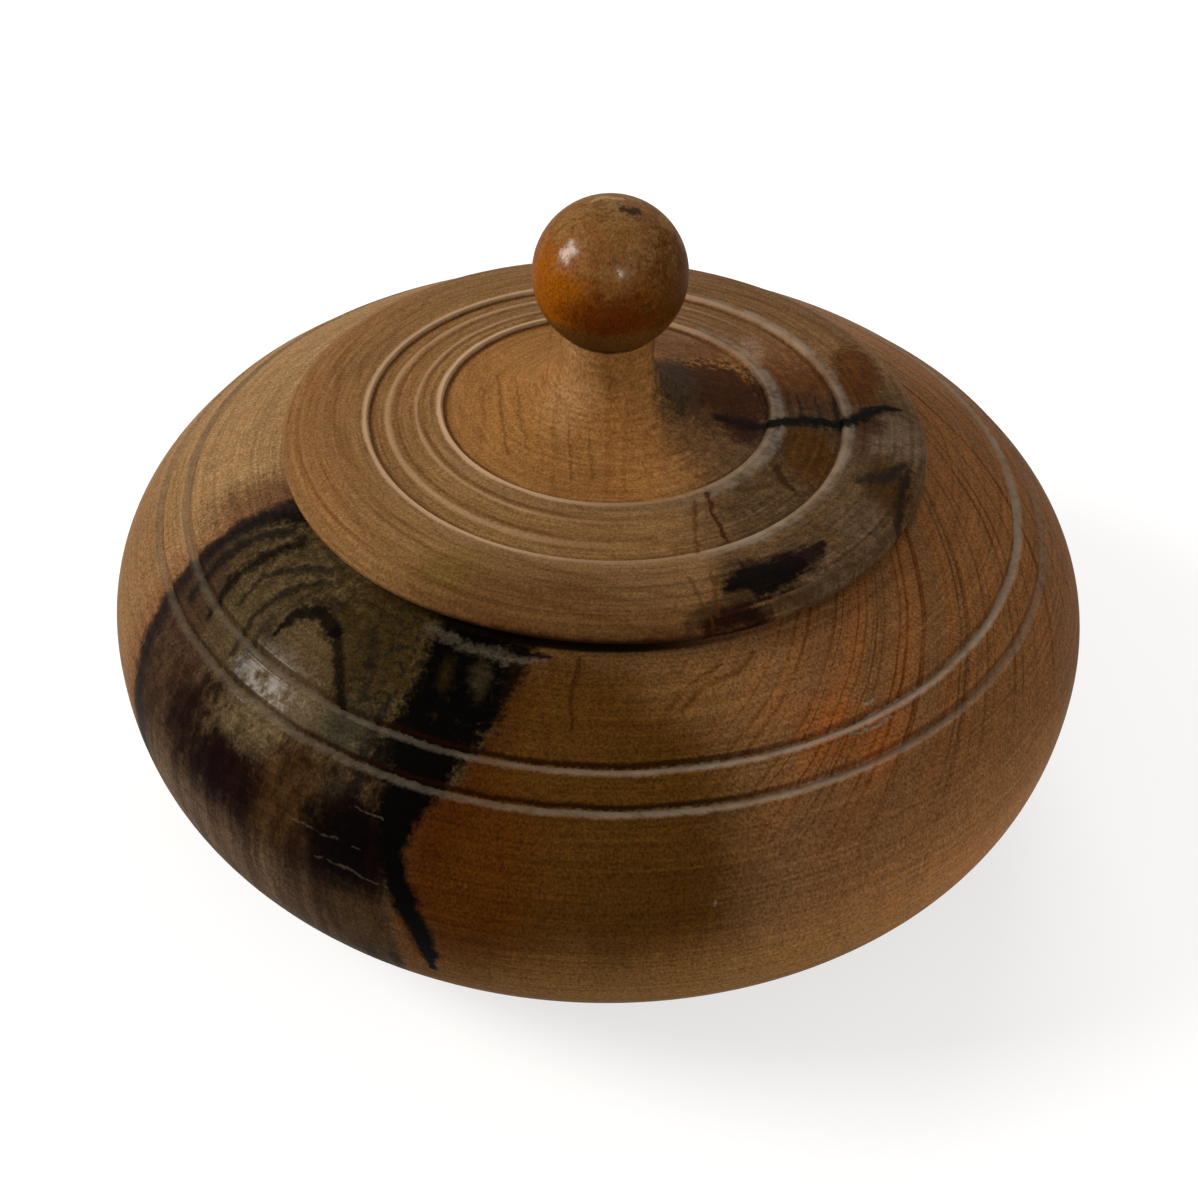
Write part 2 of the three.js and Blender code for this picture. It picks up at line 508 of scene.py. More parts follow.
ORIGIN = (0.0, 0.0, 0.0)
WHITE = (1.0, 1.0, 1.0)
IN_PLAN = (1.0, 1.0, 0.0)


def wander():
    """Moves a place about, so that what is drawn there gets a living edge."""
    board, given, out = group("Wander", {"Place": ORIGIN, "Size": 9.0, "Reach": 1.0}, ["Place"])
    scale = board.sum("DIVIDE", 1.0, given["Size"])
    push = board.node("TexNoise", {"Vector": given["Place"], "Scale": scale, "Detail": 3.0, "Roughness": 0.6})
    middle = board.vector("SUBTRACT", push.outputs["Color"], (0.5, 0.5, 0.5))
    reach = board.sum("MULTIPLY", given["Reach"], 4.0)
    board.feed(out["Place"], board.vector("ADD", given["Place"], board.scaled(middle, reach)))
    return board.tree


def fray():
    """A speckle about 0 that breaks up the edges of stains and streaks."""
    board, given, out = group("Fray", {"Place": ORIGIN, "Size": 1.0, "Amount": 1.0}, ["Fray"])
    scale = board.sum("DIVIDE", 1.0, given["Size"])
    inputs = {"Vector": given["Place"], "Scale": scale, "Detail": 4.0, "Roughness": 0.72}
    middle = board.sum("SUBTRACT", board.node("TexNoise", inputs).outputs["Fac"], 0.5)
    board.feed(out["Fray"], board.sum("MULTIPLY", middle, board.sum("MULTIPLY", given["Amount"], 4.0)))
    return board.tree


def oval_stain():
    inputs = {"Place": ORIGIN, "Fray": 0.0, "Centre": ORIGIN, "Half Size": WHITE, "Softness": 0.3}
    board, given, out = group("Stain", inputs, ["Share"])
    offset = board.vector("SUBTRACT", given["Place"], given["Centre"])
    reach = board.vector("LENGTH", board.vector("DIVIDE", offset, given["Half Size"]))
    reach = board.sum("ADD", reach, given["Fray"])
    inner = board.sum("SUBTRACT", 1.0, given["Softness"])
    outer = board.sum("ADD", 1.0, given["Softness"])
    board.feed(out["Share"], board.rise(reach, outer, inner))
    return board.tree


def straight_streak():
    """The distance from a straight line, as a share of the line's half width there."""
    inputs = {"Place": ORIGIN, "Start": ORIGIN, "End": ORIGIN, "Start Width": 1.0, "End Width": 1.0}
    board, given, out = group("Streak", inputs, ["Reach"])
    offset = board.vector("SUBTRACT", given["Place"], given["Start"])
    whole = board.vector("SUBTRACT", given["End"], given["Start"])
    along = board.vector("DOT_PRODUCT", offset, whole)
    along = board.sum("DIVIDE", along, board.vector("DOT_PRODUCT", whole, whole))
    along = board.sum("MAXIMUM", board.sum("MINIMUM", along, 1.0), 0.0)
    distance = board.vector("DISTANCE", offset, board.scaled(whole, along))
    widening = board.sum("SUBTRACT", given["End Width"], given["Start Width"])
    width = board.sum("MULTIPLY_ADD", along, widening, given["Start Width"])
    board.feed(out["Reach"], board.sum("DIVIDE", distance, width))
    return board.tree


def growth_rings():
    """Late wood drawn as fine lines and broad bands along the distance from the pith."""
    inputs = {"Place": ORIGIN, "Distance": 0.0, "Spacing": 2.0}
    board, given, out = group("Growth Rings", inputs, ["Lines", "Bands"])
    count = board.sum("DIVIDE", given["Distance"], given["Spacing"])
    lines = board.rise(board.line_noise(count, 0.8, 3.0, 0.6), 0.48, 0.68)
    speckle = board.noise(given["Place"], 0.7, 3.0, 0.7)
    patches = board.noise(given["Place"], 11.0, 2.0)
    broken = board.rise(board.sum("ADD", board.sum("MULTIPLY", speckle, 0.6), patches), 0.58, 0.95)
    board.feed(out["Lines"], board.sum("MULTIPLY", lines, board.between(broken, 0.45, 1.0)))
    board.feed(out["Bands"], board.rise(board.line_noise(count, 3.6, 2.0, 0.5), 0.36, 0.64))
    return board.tree


def fibres():
    """Fine upright fibres: streaks on the sides, and pores where the end grain shows."""
    board, given, out = group("Fibres", {"Place": ORIGIN}, ["Flecks", "Strands"])
    upright = board.vector("MULTIPLY", given["Place"], (1.0, 1.0, 0.75))
    board.feed(out["Flecks"], board.noise(upright, 0.30, 2.0, 0.6))
    strands = board.vector("MULTIPLY", given["Place"], (1.0, 1.0, 0.07))
    board.feed(out["Strands"], board.noise(strands, 1.5, 3.0, 0.65))
    return board.tree


def lathe_marks():
    """Fine rings that the turning tool and the sandpaper leave round the axis."""
    board, given, out = group("Lathe Marks", {"Place": ORIGIN, "Size": 0.5}, ["Marks", "Scores"])
    x, y, z = board.split(given["Place"])
    radius = board.vector("LENGTH", board.together(x, y, 0.0))
    scale = board.sum("DIVIDE", 1.0, given["Size"])
    across = board.sum("MULTIPLY", radius, scale)
    above = board.sum("MULTIPLY", z, scale)
    way_x = board.sum("MULTIPLY", board.sum("DIVIDE", x, radius), 3.0)
    way_y = board.sum("MULTIPLY", board.sum("DIVIDE", y, radius), 3.0)
    inputs = {"Vector": board.together(across, above, way_x), "W": way_y, "Scale": 1.0, "Detail": 2.0}
    board.feed(out["Marks"], board.node("TexNoise", inputs, noise_dimensions="4D").outputs["Fac"])
    board.feed(out["Scores"], board.line_noise(board.sum("ADD", across, above), 1.7, 3.0, 0.6))
    return board.tree


def worn_edge():
    """How far a place is on a ragged line round the axis, such as a rubbed edge."""
    inputs = {"Place": ORIGIN, "Radius": 1.0, "Height": 0.0, "Width": 1.0, "Raggedness": 0.3}
    board, given, out = group("Worn Edge", inputs, ["Share"])
    x, y, z = board.split(given["Place"])
    across = board.sum("SUBTRACT", board.vector("LENGTH", board.together(x, y, 0.0)), given["Radius"])
    above = board.sum("SUBTRACT", z, given["Height"])
    distance = board.vector("LENGTH", board.together(across, above, 0.0))
    ragged = board.sum("SUBTRACT", board.noise(given["Place"], 0.5, 4.0, 0.7), 0.5)
    slow = board.sum("SUBTRACT", board.noise(given["Place"], 5.0, 3.0), 0.5)
    ragged = board.sum("ADD", board.sum("MULTIPLY", ragged, 2.4), board.sum("MULTIPLY", slow, 2.2))
    reach = board.sum("DIVIDE", distance, given["Width"])
    reach = board.sum("MULTIPLY_ADD", ragged, given["Raggedness"], reach)
    board.feed(out["Share"], board.rise(reach, 1.25, 0.35))
    return board.tree


def torn_groove():
    """The two sides of a V groove: the lower one is lit, the upper one lies in shadow."""
    inputs = {"Place": ORIGIN, "Radius": 1.0, "Height": 0.0, "Run": 0.0, "Rise": 1.0}
    board, given, out = group("Groove", inputs, ["Lower Side", "Upper Side"])
    x, y, z = board.split(given["Place"])
    across = board.sum("SUBTRACT", board.vector("LENGTH", board.together(x, y, 0.0)), given["Radius"])
    above = board.sum("SUBTRACT", z, given["Height"])
    along = board.sum("MULTIPLY_ADD", across, given["Run"], board.sum("MULTIPLY", above, given["Rise"]))
    outward = board.sum("SUBTRACT", board.sum("MULTIPLY", across, given["Rise"]),
                        board.sum("MULTIPLY", above, given["Run"]))
    near = board.rise(board.sum("ABSOLUTE", outward), 2.4, 1.6)
    ragged = board.sum("SUBTRACT", board.noise(given["Place"], 0.55, 3.0, 0.7), 0.5)
    slow = board.sum("SUBTRACT", board.noise(given["Place"], 6.0, 2.0), 0.5)
    ragged = board.sum("MULTIPLY_ADD", slow, 0.5, board.sum("MULTIPLY", ragged, 0.75))
    along = board.sum("ADD", along, ragged)
    lower = board.sum("MULTIPLY", board.rise(along, -1.05, -0.40), board.rise(along, 0.14, -0.16))
    upper = board.sum("MULTIPLY", board.rise(along, 0.06, 0.28), board.rise(along, 0.85, 0.50))
    board.feed(out["Lower Side"], board.sum("MULTIPLY", lower, near))
    board.feed(out["Upper Side"], board.sum("MULTIPLY", upper, near))
    return board.tree


WANDER = wander()
FRAY = fray()
STAIN = oval_stain()
STREAK = straight_streak()
RINGS = growth_rings()
FIBRES = fibres()
LATHE = lathe_marks()
WORN = worn_edge()
GROOVE = torn_groove()


def new_wood(name):
    """A material with an empty board, its Principled shader and the place in millimetres."""
    wood = bpy.data.materials.new(name)
    wood.use_nodes = True
    board = Board(wood.node_tree)
    shader = wood.node_tree.nodes["Principled BSDF"]
    place = board.scaled(board.node("TexCoord", {}).outputs["Object"], 1 / MM)
    return wood, board, shader, place


# Bowl wood

SAPWOOD = (0.222, 0.129, 0.056)
LEFT_EDGE = (0.172, 0.090, 0.036)
BACKWOOD = (0.185, 0.098, 0.044)
SMOKED = (0.085, 0.038, 0.017)
RED_BROWN = (0.136, 0.062, 0.022)
HEARTWOOD = (0.058, 0.0240, 0.0034)
HONEY = (0.275, 0.127, 0.045)
LOW_HONEY = (0.205, 0.104, 0.029)
AMBER = (0.130, 0.061, 0.018)
RUST = (0.056, 0.0155, 0.0012)
ORANGE = (0.190, 0.060, 0.012)
LATE_WOOD = (0.52, 0.36, 0.20)  # what a dark ring leaves of the wood's colour
EARLY_WOOD = (1.32, 1.10, 0.88)
INK = (0.0008, 0.0005, 0.0004)
SOOT = (0.0075, 0.0055, 0.0040)
DARK_LINE = (0.030, 0.009, 0.002)
BROWN_LINE = (0.052, 0.018, 0.003)
MOSS = (0.026, 0.0150, 0.0034)
PURPLE = (0.038, 0.0190, 0.0095)
RED_BLACK = (0.0052, 0.0012, 0.0010)
UMBER = (0.038, 0.020, 0.0075)
DRY_LEAF = (0.034, 0.0155, 0.0045)
ASH = (0.088, 0.054, 0.031)
SLATE = (0.022, 0.022, 0.0135)
# painted shadow of the gap under the lid's rim
GAP_SHADOW = (0.004, 0.002, 0.001)
BONE = (0.150, 0.118, 0.078)
# torn pale fibres, also standing for the painted light on a groove's lit lower side
LIT_TORN_FIBRE = (0.240, 0.185, 0.132)

EYE = (-33.0, -38.0, 0.0)
PITH = (-12.0, -27.0, 0.0)

BOWL_SIDE = joined(underside_curve(120), shoulder_curve(200))
BELLY_DISTANCE = line_length(underside_curve(120))


def on_bowl(azimuth, distance, *width):
    """A point on the bowl: degrees to the right of the front, distance up the side, and a half width."""
    (radius, height), _ = walk(BOWL_SIDE, [distance])[0]
    turn = math.radians(azimuth)
    return (radius * math.sin(turn), -radius * math.cos(turn), height, *width)


# Broad differences in the sound wood: colour, strength, softness, centre, half size
BOWL_STAINS = [
    (BACKWOOD, 1.0, 0.40, (50.0, 50.0, 30.0), (52.0, 50.0, 60.0)),
    (LEFT_EDGE, 0.9, 0.45, (-63.0, -22.0, 30.0), (12.0, 34.0, 40.0)),
    (RED_BROWN, 1.0, 0.25, (66.0, -30.0, 30.0), (58.0, 62.0, 70.0)),
    (HEARTWOOD, 1.0, 0.35, (-2.0, -61.0, 34.0), (20.0, 27.0, 60.0)),
    (HONEY, 1.0, 0.40, (54.0, -48.0, 7.0), (45.0, 36.0, 23.0)),
    (LOW_HONEY, 0.8, 0.60, (8.0, -60.0, 11.0), (40.0, 24.0, 12.0)),
    (AMBER, 0.5, 0.60, (12.0, -43.0, 46.0), (7.0, 4.5, 6.0)),
    (RUST, 0.85, 0.55, on_bowl(-13.0, 57.0), (8.0, 8.0, 15.0)),
    (ORANGE, 0.55, 0.60, (28.5, -45.0, 42.0), (7.0, 3.5, 4.0)),
]

# Single dark rings that cross the front of the shoulder, in plan: colour, strength, softness, points
FRONT_LINES = [
    (DARK_LINE, 0.75, 0.6, (-1.4, -40.0, 0.25), (-2.1, -43.5, 0.35), (-2.9, -48.2, 0.2)),
    (BROWN_LINE, 0.6, 0.7, (-4.4, -40.6, 0.4), (-5.2, -46.0, 0.45), (-5.2, -51.0, 0.2)),
    (BROWN_LINE, 0.5, 0.7, (-7.6, -42.5, 0.4), (-8.4, -47.5, 0.4)),
    (BROWN_LINE, 0.45, 0.7, (0.6, -41.0, 0.3), (0.6, -46.0, 0.35), (0.2, -50.0, 0.3)),
    (BROWN_LINE, 0.6, 0.7, (17.2, -38.6, 0.25), (12.2, -42.9, 0.35), (9.6, -45.8, 0.2)),
    (BROWN_LINE, 0.5, 0.7, (13.5, -39.6, 0.25), (6.9, -46.7, 0.3), (4.5, -49.5, 0.2)),
]

# Charcoal arcs of the spalted patch round its eye, in plan
PATCH_ARCS = [
    (INK, 0.9, 0.7, (-34.5, -18.0, 1.1), (-38.5, -16.6, 1.2), (-43.0, -17.0, 0.9), (-46.2, -19.4, 0.6)),
    (SOOT, 0.9, 0.7, (-36.0, -19.6, 0.6), (-40.4, -19.2, 0.8), (-44.4, -21.0, 0.8), (-47.6, -24.8, 0.8)),
    (INK, 0.85, 0.8, (-34.6, -21.8, 0.9), (-38.8, -22.6, 0.9), (-42.6, -24.6, 0.6), (-44.9, -28.5, 0.5)),
    (SOOT, 0.75, 0.7, (-31.0, -27.0, 0.6), (-34.6, -25.8, 0.55), (-38.6, -25.6, 0.4), (-41.4, -28.6, 0.3)),
    (SOOT, 0.75, 0.7, (-31.0, -28.4, 0.4), (-36.0, -28.6, 0.5), (-39.2, -30.8, 0.4), (-41.5, -34.5, 0.3)),
    (SOOT, 0.55, 0.8, (-28.5, -32.0, 0.7), (-33.5, -30.2, 0.5), (-37.8, -32.4, 0.5), (-40.0, -36.0, 0.3)),
    (INK, 0.9, 0.6, (-36.4, -33.8, 0.4), (-34.0, -31.9, 0.7), (-31.0, -32.6, 1.0), (-29.2, -35.4, 0.9)),
    (INK, 0.85, 0.6, (-29.2, -35.4, 0.9), (-28.5, -38.2, 0.6), (-28.2, -41.2, 0.5), (-27.2, -44.6, 0.4)),
    (SOOT, 0.5, 0.8, (-25.0, -36.0, 0.6), (-24.5, -40.0, 0.5), (-25.5, -43.5, 0.4)),
]

# Stains of the patch on the shoulder, and a painted sheen, in plan
PATCH_STAINS = [
    (MOSS, 0.9, 0.5, (-24.0, -37.5), (7.5, 9.5)),
    (PURPLE, 0.8, 0.5, (-46.5, -24.0), (4.5, 8.5)),
    ((0.067, 0.041, 0.018), 0.9, 0.25, (-32.6, -37.8), (4.4, 4.6)),
    ((0.060, 0.040, 0.017), 0.7, 0.5, (-41.5, -30.5), (3.2, 4.0)),
    (SLATE, 0.7, 0.5, (-27.0, -46.3), (3.4, 2.8)),
    # painted sheen, where the window's reflection lies between the grooves
    ((0.100, 0.070, 0.038), 0.8, 0.5, (-35.6, -43.6), (5.6, 3.0)),
]

# Stains of the patch on the belly
LOW_STAINS = [
    (PURPLE, 0.9, 0.5, on_bowl(-58.0, 60.0), (6.0, 8.0, 9.0)),
    (RED_BLACK, 0.8, 0.5, on_bowl(-51.5, 57.5), (3.0, 3.6, 5.5)),
    (DRY_LEAF, 0.9, 0.5, on_bowl(-34.0, 57.0), (5.5, 5.0, 9.0)),
    (RED_BLACK, 0.97, 0.40, on_bowl(-42.2, 56.3), (5.0, 5.0, 6.3)),
    (RED_BLACK, 0.8, 0.5, on_bowl(-46.0, 53.5), (3.4, 3.4, 5.0)),
    ((0.098, 0.068, 0.032), 0.85, 0.5, on_bowl(-42.0, 62.6), (4.6, 4.2, 2.4)),
    ((0.012, 0.0085, 0.0045), 0.85, 0.5, on_bowl(-28.0, 60.0), (2.6, 2.6, 5.0)),
    ((0.0140, 0.0060, 0.0030), 0.9, 0.4, on_bowl(-28.5, 51.0), (5.0, 5.0, 7.5)),
    (RED_BLACK, 1.0, 0.35, on_bowl(-25.0, 55.0), (5.4, 4.6, 8.5)),
    (INK, 0.85, 0.5, on_bowl(-25.6, 55.2), (3.8, 3.4, 6.8)),
    (INK, 0.85, 0.6, on_bowl(-30.5, 57.5), (0.9, 0.9, 7.0)),
    (ASH, 1.0, 0.5, on_bowl(-46.0, 39.5), (20.0, 24.0, 9.5)),
    (UMBER, 0.85, 0.5, on_bowl(-24.0, 43.5), (7.0, 7.0, 6.0)),
]

# The black mass in front: its broad part in plan, then the line that runs down the belly
BLACK_MASS = [
    (-13.6, -37.6, 4.7),
    (-14.3, -43.0, 4.7),
    (-16.4, -47.2, 4.9),
    (-18.7, -51.0, 3.6),
    (-20.6, -54.6, 2.3),
]
BLACK_LINE = [
    on_bowl(-19.6, 66.0, 2.8),
    on_bowl(-21.0, 61.0, 1.9),
    on_bowl(-20.6, 57.0, 1.6),
    on_bowl(-19.2, 53.0, 1.5),
    on_bowl(-17.3, 48.0, 1.5),
    on_bowl(-16.2, 44.0, 1.25),
    on_bowl(-16.0, 40.2, 0.4),
]
BLACK_BRANCHES = [
    (INK, 0.9, 0.7, (-16.8, -37.6, 0.7), (-17.9, -41.0, 0.8), (-19.8, -45.4, 1.2), (-22.8, -50.0, 1.5)),
    (INK, 0.9, 0.6, (-8.0, -38.8, 1.5), (-9.4, -43.0, 1.2), (-11.6, -46.6, 1.4)),
    (INK, 0.85, 0.7, (-9.0, -39.4, 0.9), (-5.4, -40.4, 0.5)),
    (SOOT, 0.8, 0.7, (-22.4, -44.0, 0.5), (-24.6, -49.0, 0.9), (-25.4, -51.6, 0.5)),
]
# Paler islands in the black mass, in plan
ISLANDS = [
    ((0.040, 0.030, 0.013), 0.45, 0.8, (-12.4, -42.8), (1.0, 1.8)),
    (MOSS, 0.4, 0.8, (-16.4, -41.8), (0.9, 1.8)),
]
# Frayed pale fibres along the seat and torn ones beside the grooves, in plan
PALE_FIBRES = [
    (BONE, 0.26, 0.9, (-19.0, -36.2, 0.4), (-14.6, -38.6, 0.6), (-10.2, -40.2, 0.6), (-5.4, -40.8, 0.2)),
    (BONE, 0.8, 0.5, (27.8, -44.9, 0.12), (30.4, -43.6, 0.16), (32.5, -41.6, 0.10)),
    (BONE, 0.7, 0.5, (29.4, -41.6, 0.16), (30.9, -39.9, 0.12)),
]
BELLY_SCRATCHES = [
    (BONE, 0.20, 0.8, on_bowl(-31.0, 52.8, 0.10), on_bowl(-26.0, 52.9, 0.16), on_bowl(-20.5, 52.6, 0.10)),
    (BONE, 0.16, 0.8, on_bowl(-34.0, 55.6, 0.08), on_bowl(-27.5, 56.0, 0.14), on_bowl(-24.0, 55.8, 0.08)),
    (BONE, 0.20, 0.8, on_bowl(-25.6, 60.2, 0.08), on_bowl(-22.3, 59.9, 0.14)),
    (BONE, 0.8, 0.5, on_bowl(12.5, 54.0, 0.20), on_bowl(12.8, 54.6, 0.12)),
]


def sound_bowl_wood(board, place):
    """The sound wood: pale at the left and back, red-brown at the right and dark in front."""
    drift = board.use(WANDER, {"Place": place, "Size": 7.0, "Reach": 1.0})["Place"]
    colour = board.stained(SAPWOOD, drift, 0.0, BOWL_STAINS)
    gentle = board.use(WANDER, {"Place": place, "Size": 30.0, "Reach": 0.55})["Place"]
    distance = board.vector("DISTANCE", board.vector("MULTIPLY", gentle, (1.0, 1.0, 0.12)), PITH)
    rings = board.use(RINGS, {"Place": place, "Distance": distance, "Spacing": 0.85})
    x, y, z = board.split(drift)
    right = board.sum("MULTIPLY", board.rise(x, 4.0, 26.0), board.rise(z, 31.0, 42.0))
    strength = board.sum("MULTIPLY", rings["Bands"], board.between(right, 0.1, 0.75))
    colour = board.paint(strength, colour, EARLY_WOOD, "MULTIPLY")
    strength = board.sum("MULTIPLY", rings["Lines"], board.between(right, 0.14, 0.95))
    colour = board.paint(strength, colour, LATE_WOOD, "MULTIPLY")
    left = board.sum("MULTIPLY", board.rise(x, -34.0, -42.0), board.rise(y, -14.0, -4.0))
    ripple = board.sum("MULTIPLY", left, board.rise(board.line_noise(y, 0.9, 2.0), 0.5, 0.7))
    colour = board.paint(board.sum("MULTIPLY", ripple, 0.22), colour, LATE_WOOD, "MULTIPLY")
    flat = board.vector("MULTIPLY", drift, IN_PLAN)
    return board.streaked(colour, flat, 0.0, FRONT_LINES)


def spalted_patch(board, place, fine_drift, flat, edge):
    """The dark patch at the front left: charcoal arcs round an eye above, dark columns on the belly."""
    mottle = board.rise(board.noise(place, 1.7, 4.0, 0.68), 0.36, 0.64)
    colour = board.paint(mottle, (0.030, 0.0185, 0.0072), (0.072, 0.047, 0.020))
    colour = board.stained(colour, flat, edge, PATCH_STAINS)
    mossy = board.stain(flat, edge, (-21.5, -39.5), (5.5, 8.0), 0.6)
    clumps = board.rise(board.noise(place, 1.3, 4.0, 0.7), 0.50, 0.60)
    clumps = board.sum("MULTIPLY", board.sum("MULTIPLY", mossy, clumps), 0.8)
    colour = board.paint(clumps, colour, SOOT)
    colour = board.streaked(colour, flat, edge, PATCH_ARCS)

    upright = board.vector("MULTIPLY", fine_drift, (1.0, 1.0, 0.05))
    columns = board.rise(board.noise(upright, 1.9, 4.0, 0.65), 0.36, 0.64)
    low = board.paint(columns, (0.014, 0.0060, 0.0026), (0.052, 0.031, 0.013))
    low = board.stained(low, fine_drift, board.sum("MULTIPLY", edge, 0.5), LOW_STAINS)
    low = board.toned(low, columns, 0.0, 1.0, (0.66, 0.60, 0.55), (1.25, 1.25, 1.25))
    height = board.split(fine_drift)[2]
    return board.paint(board.rise(height, 41.0, 38.5), colour, low)


def groove_lines():
    """The bottom of each groove, with the shoulder's direction there."""
    return walk(BOWL_SIDE, [BELLY_DISTANCE + groove for groove in GROOVES])


def grooved(board, colour, place):
    """The grooves: torn pale fibres with painted light on each groove's lit lower side, under a line of
    painted shade on its upper side, clearest in front and at the right.
    """
    x = board.split(place)[0]
    torn = board.rise(board.noise(place, 2.4, 4.0, 0.7), 0.34, 0.60)
    pale = board.between(board.rise(x, -24.0, 34.0), 0.32, 1.0)
    pale = board.sum("MULTIPLY", pale, board.between(torn, 0.62, 1.0))
    faint_at_right = board.between(board.rise(x, 18.0, 46.0), 0.85, 0.4)
    front = board.stain(place, 0.0, (-8.0, -56.0, 41.0), (27.0, 15.0, 12.0), 0.5)
    shadow = board.between(front, 0.32, 0.80)
    for ((radius, height), (run, rise)), share in zip(groove_lines(), (faint_at_right, 0.9)):
        inputs = {"Place": place, "Radius": radius, "Height": height, "Run": run, "Rise": rise}
        groove = board.use(GROOVE, inputs)
        # painted shade on the upper side of the groove, then torn fibres with painted light on the lower side
        dark = board.sum("MULTIPLY", groove["Upper Side"], shadow)
        colour = board.paint(dark, colour, (0.010, 0.0025, 0.0008))
        lit = board.sum("MULTIPLY", groove["Lower Side"], board.sum("MULTIPLY", pale, share))
        colour = board.paint(lit, colour, LIT_TORN_FIBRE)
    return colour


def painted_shadow_under_the_rim(board, colour, place):
    """Painted shadow of the gap under the lid's rim, on the edge of the seat: black in front and faint
    elsewhere.
    """
    radius = board.vector("LENGTH", board.vector("MULTIPLY", place, IN_PLAN))
    ring = board.sum("MULTIPLY", board.rise(radius, SEAT_RADIUS + 0.45, SEAT_RADIUS),
                     board.rise(radius, SEAT_RADIUS - 2.0, SEAT_RADIUS - 1.4))
    outside = board.rise(board.split(place)[2], SEAT_HEIGHT - 1.4, SEAT_HEIGHT - 0.8)
    front = board.stain(place, 0.0, (-5.0, -39.0, SEAT_HEIGHT), (17.0, 12.0, 6.0), 0.5)
    share = board.sum("MULTIPLY", board.sum("MULTIPLY", ring, outside), board.between(front, 0.06, 0.95))
    return board.paint(share, colour, GAP_SHADOW)


def bowl_wood():
    wood, board, shader, place = new_wood("bowl_wood")
    colour = sound_bowl_wood(board, place)
    fine_drift = board.use(WANDER, {"Place": place, "Size": 2.6, "Reach": 0.42})["Place"]
    flat = board.vector("MULTIPLY", fine_drift, IN_PLAN)
    edge = board.use(FRAY, {"Place": place, "Size": 0.85, "Amount": 0.55})["Fray"]
    broad_edge = board.sum("MULTIPLY", edge, 0.5)

    to_eye = board.vector("DISTANCE", flat, EYE)
    to_eye = board.sum("MULTIPLY_ADD", edge, 0.8, to_eye)
    reddened = board.sum("MULTIPLY", board.rise(to_eye, 29.0, 24.5), 0.6)
    colour = board.paint(reddened, colour, (0.60, 0.42, 0.40), "MULTIPLY")
    smoked = board.stain(flat, edge, (-40.5, -13.0), (7.0, 4.2), 0.6)
    colour = board.paint(board.sum("MULTIPLY", smoked, 0.8), colour, SMOKED)
    patch = spalted_patch(board, place, fine_drift, flat, edge)
    x, _, z = board.split(fine_drift)
    left_of_line = board.sum("MAXIMUM", board.rise(z, 38.5, 41.0), board.rise(x, -19.6, -21.2))
    inside = board.sum("MULTIPLY", board.rise(to_eye, 24.8, 23.0), left_of_line)
    colour = board.paint(inside, colour, patch)
    border = board.sum("MULTIPLY", board.rise(to_eye, 20.5, 22.8), board.rise(to_eye, 25.0, 23.6))
    border = board.sum("MULTIPLY", border, board.rise(board.split(place)[0], -28.0, -36.0))
    colour = board.paint(board.sum("MULTIPLY", border, 0.88), colour, (0.0095, 0.0060, 0.0058))

    charred = board.rise(board.noise(place, 1.5, 4.0, 0.7), 0.54, 0.74)
    black = board.paint(charred, INK, (0.0080, 0.0048, 0.0016))
    black = board.stained(black, flat, edge, ISLANDS)
    on_shoulder = board.rise(board.split(place)[2], 33.0, 35.0)
    mass = board.sum("MULTIPLY", board.streak(flat, broad_edge, 0.25, BLACK_MASS), on_shoulder)
    colour = board.paint(mass, colour, black)
    colour = board.paint(board.streak(fine_drift, broad_edge, 0.45, BLACK_LINE), colour, INK)
    colour = board.streaked(colour, flat, edge, BLACK_BRANCHES)
    colour = board.streaked(colour, flat, board.sum("MULTIPLY", edge, 1.8), PALE_FIBRES)
    colour = board.streaked(colour, fine_drift, edge, BELLY_SCRATCHES)

    fibres = board.use(FIBRES, {"Place": place})
    lathe = board.use(LATHE, {"Place": place, "Size": 0.42})
    colour = board.toned(colour, fibres["Flecks"], 0.30, 0.70, (0.58, 0.56, 0.52), (1.45, 1.47, 1.50))
    colour = board.toned(colour, fibres["Strands"], 0.25, 0.75, (0.90, 0.88, 0.85), (1.10, 1.11, 1.12))
    colour = board.toned(colour, lathe["Marks"], 0.25, 0.75, (0.74, 0.73, 0.70), (1.26, 1.27, 1.28))
    colour = grooved(board, colour, place)
    colour = painted_shadow_under_the_rim(board, colour, place)
    board.feed(shader.inputs["Base Color"], colour)

    board.feed(shader.inputs["Roughness"], board.between(fibres["Strands"], 0.45, 0.65))
    shader.inputs["Specular IOR Level"].default_value = 0.01
    sheen = board.stain(fine_drift, edge, (-37.6, -39.2, 42.4), (4.6, 4.2, 2.8), 0.5)
    sparkle = board.rise(fibres["Strands"], 0.32, 0.66)
    sheen = board.sum("MULTIPLY", board.sum("MULTIPLY", sheen, sparkle), 0.42)
    board.feed(shader.inputs["Coat Weight"], sheen)
    shader.inputs["Coat Roughness"].default_value = 0.30
    rough = board.sum("ADD", lathe["Marks"], fibres["Flecks"])
    bump = board.node("Bump", {"Strength": 0.7, "Distance": 0.045 * MM, "Height": rough})
    board.feed(shader.inputs["Normal"], bump.outputs[0])
    return wood


# Lid wood

LID_TAN = (0.166, 0.088, 0.033)
LID_RIM = (0.168, 0.084, 0.031)
LID_HONEY = (0.205, 0.094, 0.027)
LID_SHADE = (0.082, 0.038, 0.011)
LID_GREY = (0.060, 0.034, 0.0145)
LID_BACK = (0.125, 0.064, 0.024)
# rubbed wear on the arrises, brightened as painted highlight on the lit left, and painted highlight on the
# beads
CREAM_WEAR_AND_HIGHLIGHT = (0.42, 0.27, 0.155)
PALE_GREY = (0.210, 0.165, 0.125)
GOLD_BROWN = (0.055, 0.0205, 0.0020)
ORANGE_BROWN = (0.092, 0.030, 0.0060)
SHADOW_LINE = (0.52, 0.42, 0.32)  # what the painted shade in a fine tool step leaves of the wood's colour
